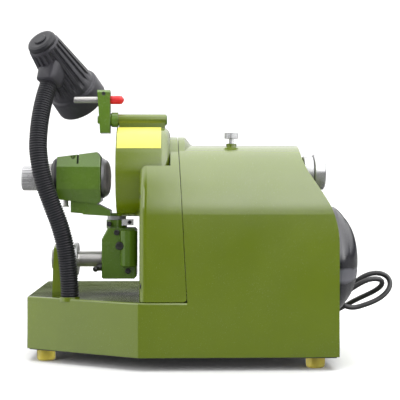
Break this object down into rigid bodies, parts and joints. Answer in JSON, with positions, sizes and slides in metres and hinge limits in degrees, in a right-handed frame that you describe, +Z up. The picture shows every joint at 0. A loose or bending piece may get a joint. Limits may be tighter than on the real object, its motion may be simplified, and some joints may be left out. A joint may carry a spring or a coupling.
{
  "type": "drill bit sharpener",
  "caption": "Bench grinder for drill bits and cutters: cup wheel spindle with dresser, belt drive, swivelling collet work head on a rod, and a gooseneck lamp.",
  "frame": {"origin": "centre of the underside of the foot nearest the camera on the right (below the motor end), on the bench plane", "axes": "+X along the grinding spindle from the work head to the motor, +Y to the operator's side, +Z up"},
  "size_m": [0.4905, 0.317, 0.4153],
  "materials": {
    "olive_paint": "glossy",
    "arm_paint": "glossy",
    "cast_iron": "machined",
    "steel": "turned",
    "chrome": "polished",
    "aluminium": "satin",
    "black_steel": "blackened",
    "dark_steel": "turned",
    "black_plastic": "textured",
    "grey_plastic": "satin",
    "rubber": "matte",
    "amber_rubber": "translucent",
    "label_yellow": "printed film",
    "red_plastic": "moulded",
    "green_plastic": "moulded",
    "abrasive": "gritty, bonded abrasive",
    "mirror_bowl": "bright",
    "bulb_glass": "frosted",
    "tinted_plate": "engraved"
  },
  "bodies": {
    "frame": {"base_casting": "olive_paint", "belt_cover": "olive_paint", "casing_screws": "black_steel", "bottom_plate": "black_steel", "feet": "amber_rubber", "wheel_guard": "olive_paint", "warning_label": "label_yellow", "motor_frame": "aluminium", "motor_rear_bell": "aluminium", "motor_stator": "steel", "motor_bearings": "chrome", "motor_screws": "steel", "motor_cowl": "grey_plastic", "drive_belt": "rubber", "switch_unit": "black_plastic", "capacitor": "aluminium", "cord_gland": "black_plastic", "power_cord": "rubber", "lamp_gooseneck": "black_plastic"},
    "motor_rotor_set": {"motor_rotor": "steel", "motor_pulley": "aluminium", "motor_fan": "black_plastic"},
    "quill_set": {"quill": "steel", "spindle_bearings": "chrome"},
    "wheel_spindle": {"spindle_shaft": "steel", "spindle_pulley": "aluminium", "wheel_flange": "steel", "grinding_wheel": "abrasive", "wheel_nut": "steel"},
    "feed_screw_set": {"feed_knob": "chrome", "feed_dial": "aluminium"},
    "quill_lock": {"quill_lock_screw": "chrome"},
    "dresser": {"dresser_shaft": "arm_paint", "dresser_arm": "arm_paint", "dresser_set_screw": "black_steel"},
    "dresser_pin_set": {"dresser_pin": "steel", "dresser_cap": "red_plastic"},
    "swing_rod_set": {"swing_rod": "steel", "rod_dial": "aluminium"},
    "arm": {"swing_arm": "arm_paint", "arm_screws": "black_steel", "vernier_plate": "tinted_plate"},
    "arm_clamp": {"arm_clamp_lever": "black_steel"},
    "work_head": {"head_bracket": "arm_paint", "graduated_ring": "aluminium", "work_head_body": "arm_paint", "head_screws": "black_steel", "head_rear_cap": "black_steel"},
    "index_plunger": {"index_pin": "steel"},
    "work_spindle_set": {"work_spindle": "steel", "collet": "steel", "collet_nut": "dark_steel"},
    "drawbar_set": {"drawbar": "chrome"},
    "lamp_head": {"lamp_shell": "grey_plastic", "lamp_back_cap": "black_plastic", "lamp_reflector": "mirror_bowl", "lamp_bulb": "bulb_glass"},
    "lamp_switch_set": {"lamp_switch": "black_plastic"},
    "start_button_set": {"start_button": "green_plastic"},
    "stop_button_set": {"stop_button": "red_plastic"}
  },
  "joints": [
    {"name": "motor_spin", "type": "hinge", "parent": "frame", "child": "motor_rotor_set", "pos_m": [-0.138, 0.066, 0.125], "axis": [1, 0, 0], "continuous": true},
    {"name": "quill_feed", "type": "slide", "parent": "frame", "child": "quill_set", "axis": [1, 0, 0], "range_m": [-0.003, 0.003]},
    {"name": "spindle_spin", "type": "hinge", "parent": "quill_set", "child": "wheel_spindle", "pos_m": [-0.138, 0.058, 0.2368], "axis": [1, 0, 0], "continuous": true},
    {"name": "feed_knob_turn", "type": "hinge", "parent": "frame", "child": "feed_screw_set", "pos_m": [0.002, 0.058, 0.2368], "axis": [1, 0, 0], "range_deg": [-721, 721]},
    {"name": "quill_lock_turn", "type": "hinge", "parent": "frame", "child": "quill_lock", "pos_m": [-0.099, 0.048, 0.28], "axis": [0, 0, 1], "range_deg": [0, 180]},
    {"name": "dresser_swing", "type": "hinge", "parent": "frame", "child": "dresser", "pos_m": [-0.259, 0.058, 0.3025], "axis": [1, 0, 0], "range_deg": [-90, 90]},
    {"name": "dresser_pin_slide", "type": "slide", "parent": "dresser", "child": "dresser_pin_set", "axis": [1, 0, 0], "range_m": [0, 0.025]},
    {"name": "head_swing", "type": "hinge", "parent": "frame", "child": "swing_rod_set", "pos_m": [-0.312, 0.078, 0.126], "axis": [1, 0, 0], "range_deg": [-35, 0]},
    {"name": "arm_slide", "type": "slide", "parent": "swing_rod_set", "child": "arm", "axis": [1, 0, 0], "range_m": [-0.014, 0]},
    {"name": "arm_clamp_turn", "type": "hinge", "parent": "arm", "child": "arm_clamp", "pos_m": [-0.266, 0.064, 0.116], "axis": [1, 0, 0], "range_deg": [-45, 45]},
    {"name": "head_swivel", "type": "hinge", "parent": "arm", "child": "work_head", "pos_m": [-0.244, 0.078, 0.18], "axis": [0, 0, 1], "range_deg": [-20, 5]},
    {"name": "index_pin_pull", "type": "slide", "parent": "work_head", "child": "index_plunger", "axis": [0, 0, 1], "range_m": [-0.006, 0]},
    {"name": "work_spindle_turn", "type": "hinge", "parent": "work_head", "child": "work_spindle_set", "pos_m": [-0.288, 0.078, 0.229], "axis": [1, 0, 0], "continuous": true},
    {"name": "drawbar_turn", "type": "hinge", "parent": "work_spindle_set", "child": "drawbar_set", "pos_m": [-0.348, 0.078, 0.229], "axis": [1, 0, 0], "range_deg": [-360, 360]},
    {"name": "lamp_bend", "type": "hinge", "parent": "frame", "child": "lamp_head", "pos_m": [-0.299, 0.034, 0.09], "axis": [0, 1, 0], "range_deg": [-15, 6], "deforming": ["lamp_gooseneck"]},
    {"name": "lamp_switch_press", "type": "slide", "parent": "lamp_head", "child": "lamp_switch_set", "axis": [0.4201, 0.6422, -0.6412], "range_m": [0, 0.0015]},
    {"name": "start_press", "type": "slide", "parent": "frame", "child": "start_button_set", "axis": [0, -1, 0], "range_m": [0, 0.003]},
    {"name": "stop_press", "type": "slide", "parent": "frame", "child": "stop_button_set", "axis": [0, -1, 0], "range_m": [0, 0.003]}
  ],
  "couplings": [
    {"joint": "spindle_spin", "follows": "motor_spin", "ratio": 1.8571},
    {"joint": "feed_knob_turn", "follows": "quill_feed", "rad_per_m": -4188.8}
  ]
}
